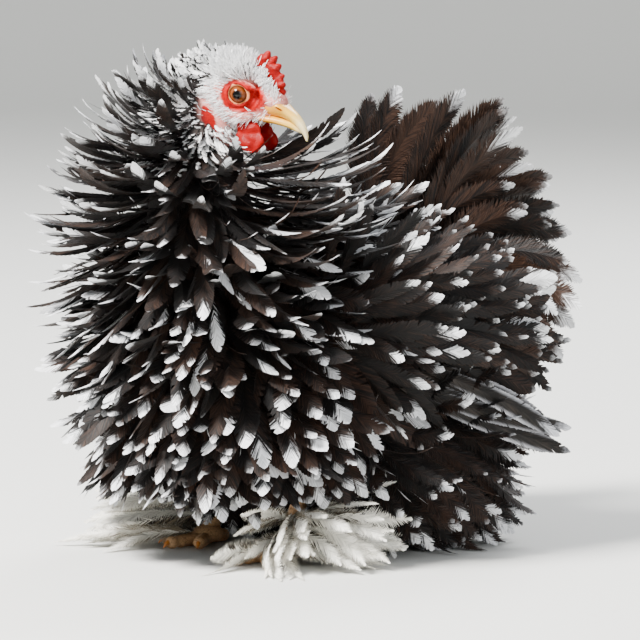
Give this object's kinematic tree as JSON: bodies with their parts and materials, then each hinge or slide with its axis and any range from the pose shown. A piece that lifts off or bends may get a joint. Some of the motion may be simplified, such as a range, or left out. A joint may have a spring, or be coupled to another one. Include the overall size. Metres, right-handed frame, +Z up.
{
  "type": "frizzle chicken",
  "caption": "Life-size still model of a frizzle-feathered bantam hen, standing with its head turned over its left side.",
  "frame": {"origin": "on the floor, under the middle of the bird's outline", "axes": "+Z up, -Y the way the breast faces, +X the bird's left side"},
  "size_m": [0.2044, 0.2624, 0.2358],
  "materials": {
    "black_plumage": "soft brown-black feather vanes with white tips",
    "red_skin": "bare, finely grained red skin",
    "face_skin": "pink skin under thin white feathers",
    "horn": "smooth yellow horn",
    "eye": "wet, clear eye with a brown iris",
    "scaled_skin": "yellow scaled skin"
  },
  "bodies": {
    "root": {"abdomen": "black_plumage", "back": "black_plumage", "beak_lower": "horn", "beak_upper": "horn", "breast": "black_plumage", "comb": "red_skin", "eye_left": "eye", "eye_right": "eye", "foot_left": "scaled_skin", "foot_right": "scaled_skin", "head": "face_skin", "neck": "black_plumage", "tail": "black_plumage", "thigh_left": "black_plumage", "thigh_right": "black_plumage", "wattle_left": "red_skin", "wattle_right": "red_skin", "wing_left": "black_plumage", "wing_right": "black_plumage"}
  },
  "joints": []
}
